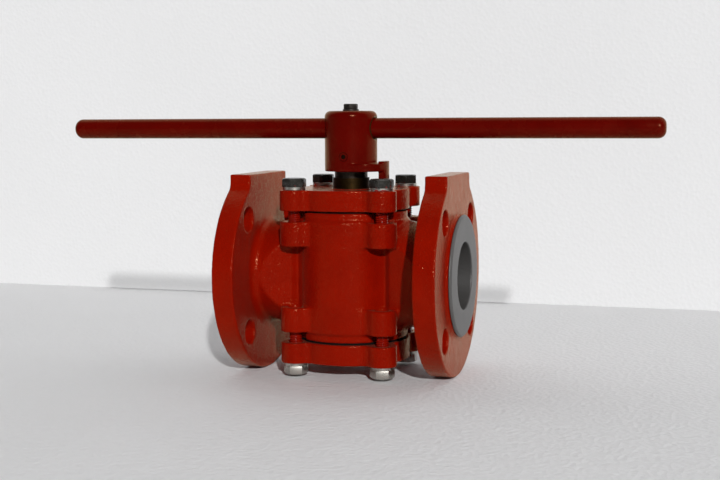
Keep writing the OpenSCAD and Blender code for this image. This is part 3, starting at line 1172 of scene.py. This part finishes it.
class VALVE_OT_handle_bar(bpy.types.Operator):
    """Model the round handle bar with its rounded ends"""

    bl_idname = "valve.handle_bar"
    bl_label = "Handle bar"

    def execute(self, context):
        low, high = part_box("handle_bar")
        half = (high.x - low.x) / 2
        radius = (high.z - low.z) / 2
        height = (high.z + low.z) / 2
        edge = context.scene.valve_form.bar_end_round
        profile = arc((radius - edge, edge - half), edge, -90, 0)
        profile += [(radius, ring * half / BAR_RINGS) for ring in range(1 - BAR_RINGS, BAR_RINGS)]
        profile += arc((radius - edge, half - edge), edge, 0, 90)
        piece = turned("handle_bar_painted", profile)
        place(piece, rotation=(0, math.pi / 2, 0))
        place(piece, (0, 0, height))
        ends = (height - BOLT_WAY_HALF, height + BOLT_WAY_HALF)
        hole = turned("bolt_way", [(BOLT_WAY_RADIUS, end) for end in ends], 40)
        combine(piece, hole, "DIFFERENCE")
        hand_over(piece, MOVING, ("handle_bar",), handle_enamel())
        return {"FINISHED"}


class VALVE_OT_bar_bolt(bpy.types.Operator):
    """Model the small bolt on top of the hub and its washer"""

    bl_idname = "valve.bar_bolt"
    bl_label = "Bar bolt"

    def execute(self, context):
        low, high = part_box("bar_bolt")
        washer_low, washer_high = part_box("bar_bolt_washer")
        seat = washer_high.z
        head = hexagon_head(SMALL_BOLT_ACROSS, high.z - seat)
        place(head, (0, 0, seat), (0, 0, math.radians(SMALL_BOLT_TURN)))
        thread = [low.z + end for end in SMALL_BOLT_THREAD]
        shank = threaded_shank(SMALL_BOLT_RADIUS, SMALL_BOLT_PITCH, low.z, seat + HEAD_OVERLAP, *thread)
        bolt = join("bar_bolt_hexagon", [head, shank])
        hand_over(bolt, MOVING, ("bar_bolt",), oiled_steel(), HEXAGON_ANGLE)
        ring = washer("bar_bolt_washer_turned", SMALL_WASHER_RADII, seat - washer_low.z, 56)
        place(ring, (0, 0, washer_low.z))
        hand_over(ring, MOVING, ("bar_bolt_washer",), oiled_steel(), HEXAGON_ANGLE)
        return {"FINISHED"}


# Solids that are shown as they are


class VALVE_OT_carried_nodes(bpy.types.Operator):
    """Give every solid that is shown as it is its finish"""

    bl_idname = "valve.carried_nodes"
    bl_label = "Carried-over solids"

    finishes = {
        lining_skin: ("plug_lining",),
        stem_skin: ("plug_core",),
        seal_skin: ("lip_seal", "lower_lip_seal", "stem_packing", "trunnion_pad"),
        zinc_plate: ("seal_plate", "thrust_ring", "lower_thrust_ring"),
        gland_bronze: ("gland_bush", "trunnion_bush"),
        gasket_and_gap_shade: ("top_gasket", "bottom_gasket"),
        screw_enamel: ("hub_set_screw",),
    }

    def execute(self, context):
        for finish, nodes in self.finishes.items():
            for node in nodes:
                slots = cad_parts[node].data.materials
                slots.clear()
                slots.append(finish())
        return {"FINISHED"}


# Floor, wall, light and camera


def lay_boards(wall_distance):
    """The floor under the valve and the wall behind it."""
    ground = CAD_BOX[0].z
    clear_selection()
    for name, glow, location, rotation in (
        ("floor", FLOOR_GLOW, (0, 0, ground), (0, 0, 0)),
        ("back_wall", WALL_GLOW, (0, wall_distance, ground + BOARD_SIZE / 2), (math.pi / 2, 0, 0)),
    ):
        bpy.ops.mesh.primitive_plane_add(size=BOARD_SIZE, location=location, rotation=rotation)
        piece = name_piece(bpy.context.object, name)
        pick(piece)
        bpy.ops.object.transform_apply(location=True, rotation=True, scale=True)
        piece.data.materials.append(foam_board(f"{name}_board", glow))
    clear_selection()


def set_light(studio):
    """A low sun from the front and an even room."""
    bpy.ops.object.light_add(type="SUN", location=SUN_PLACE)
    key = bpy.context.object
    key.name = "key_light"
    key.data.energy = studio.key_power
    key.data.angle = studio.key_softness
    key.rotation_euler = Vector(SUN_WAY).to_track_quat("-Z", "Y").to_euler()
    world = bpy.data.worlds.new("even_room")
    world.use_nodes = True
    sky = world.node_tree.nodes["Background"]
    sky.inputs["Color"].default_value = (1, 1, 1, 1)
    sky.inputs["Strength"].default_value = studio.sky_level
    bpy.context.scene.world = world


def set_camera(lens):
    """The photograph's camera, from its place and its yaw, pitch and roll."""
    bpy.ops.object.camera_add()
    camera = bpy.context.object
    camera.name = "photo_camera"
    camera.data.lens = lens
    camera.data.sensor_width = SENSOR_WIDTH
    camera.data.clip_start = NEAREST_SEEN
    yaw, pitch, roll = (math.radians(a) for a in CAMERA_ANGLES)
    level = math.cos(pitch)
    ahead = Vector((math.sin(yaw) * level, math.cos(yaw) * level, -math.sin(pitch)))
    side = ahead.cross(Vector((0, 0, 1))).normalized()
    side = Matrix.Rotation(-roll, 3, ahead) @ side
    axes = Matrix((side, side.cross(ahead), -ahead)).transposed()
    camera.matrix_world = Matrix.Translation(Vector(CAMERA_PLACE)) @ axes.to_4x4()
    bpy.context.scene.camera = camera


class VALVE_OT_stage(bpy.types.Operator):
    """Set the floor, the back wall, the light and the camera"""

    bl_idname = "valve.stage"
    bl_label = "Stage"

    def execute(self, context):
        studio = context.scene.valve_studio
        lay_boards(studio.wall_distance)
        set_light(studio)
        set_camera(studio.lens)
        context.scene.view_settings.view_transform = "Standard"
        return {"FINISHED"}


class VALVE_PT_panel(bpy.types.Panel):
    """The valve's pieces in the 3D view's sidebar"""

    bl_idname = "VALVE_PT_panel"
    bl_label = "Plug valve"
    bl_space_type = "VIEW_3D"
    bl_region_type = "UI"
    bl_category = "Plug valve"

    def draw(self, context):
        for operator in OPERATORS:
            self.layout.operator(operator.bl_idname)
        for settings in ("valve_form", "valve_colours", "valve_studio"):
            group = getattr(context.scene, settings)
            for key in group.bl_rna.properties.keys():
                if key not in ("rna_type", "name"):
                    self.layout.prop(group, key)


OPERATORS = (
    VALVE_OT_casting,
    VALVE_OT_covers,
    VALVE_OT_lining,
    VALVE_OT_cover_bolts,
    VALVE_OT_spring_washers,
    VALVE_OT_handle_hub,
    VALVE_OT_handle_bar,
    VALVE_OT_bar_bolt,
    VALVE_OT_carried_nodes,
    VALVE_OT_stage,
)
CLASSES = (ValveForm, ValveColours, ValveStudio, *OPERATORS, VALVE_PT_panel)


def register():
    for cls in CLASSES:
        bpy.utils.register_class(cls)
    bpy.types.Scene.valve_form = bpy.props.PointerProperty(type=ValveForm)
    bpy.types.Scene.valve_colours = bpy.props.PointerProperty(type=ValveColours)
    bpy.types.Scene.valve_studio = bpy.props.PointerProperty(type=ValveStudio)


def unregister():
    del bpy.types.Scene.valve_form
    del bpy.types.Scene.valve_colours
    del bpy.types.Scene.valve_studio
    for cls in reversed(CLASSES):
        bpy.utils.unregister_class(cls)


def main():
    register()
    bpy.ops.valve.casting()
    bpy.ops.valve.covers()
    bpy.ops.valve.lining()
    bpy.ops.valve.cover_bolts()
    bpy.ops.valve.spring_washers()
    bpy.ops.valve.handle_hub()
    bpy.ops.valve.handle_bar()
    bpy.ops.valve.bar_bolt()
    bpy.ops.valve.carried_nodes()
    bpy.ops.valve.stage()


if __name__ == "__main__":
    main()
